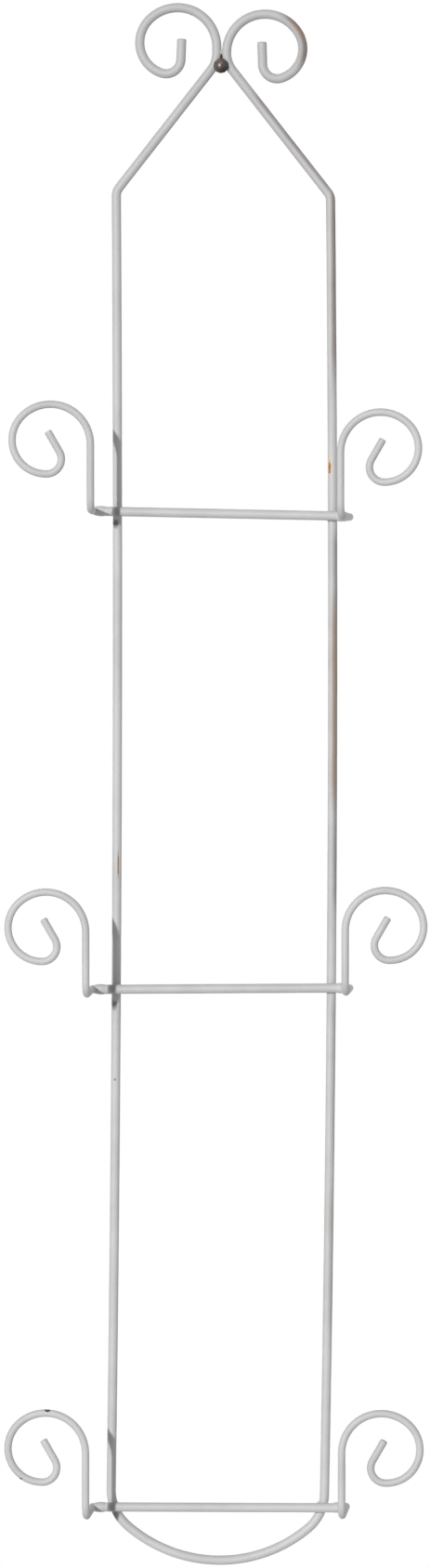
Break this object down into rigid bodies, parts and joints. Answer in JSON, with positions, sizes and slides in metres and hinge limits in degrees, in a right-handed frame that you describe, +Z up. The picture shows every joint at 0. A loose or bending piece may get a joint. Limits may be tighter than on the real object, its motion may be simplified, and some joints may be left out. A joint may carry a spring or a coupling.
{
  "type": "plate rack",
  "caption": "Wall-hung wire rack that displays plates one above another: a bent rod frame with scrolled crest, cross bars and scrolled plate hooks, hung from a domed nail.",
  "frame": {"origin": "on the nail's axis, in the plane of the wall that the frame lies against", "axes": "+X to the viewer's right, +Y into the wall along the nail, +Z up; the rack's front faces -Y"},
  "size_m": [0.2719, 0.0773, 1.0079],
  "materials": {
    "white_enamel": "aged off-white enamel on steel rod, satin, with small rust chips",
    "dark_bronze": "dark bronzed, hammered, satin"
  },
  "bodies": {
    "nail": {"nail": "dark_bronze"},
    "rack": {"frame_rod": "white_enamel", "upper_bar": "white_enamel", "middle_bar": "white_enamel", "lower_bar": "white_enamel", "upper_left_hook": "white_enamel", "upper_right_hook": "white_enamel", "middle_left_hook": "white_enamel", "middle_right_hook": "white_enamel", "lower_left_hook": "white_enamel", "lower_right_hook": "white_enamel", "neck_weld": "white_enamel", "upper_bar_welds": "white_enamel", "upper_hook_welds": "white_enamel", "middle_bar_welds": "white_enamel", "middle_hook_welds": "white_enamel", "lower_bar_welds": "white_enamel", "lower_hook_welds": "white_enamel"}
  },
  "joints": [
    {"name": "swing", "type": "hinge", "parent": "nail", "child": "rack", "pos_m": [0, 0, 0], "axis": [0, 1, 0], "range_deg": [-30, 30]}
  ]
}
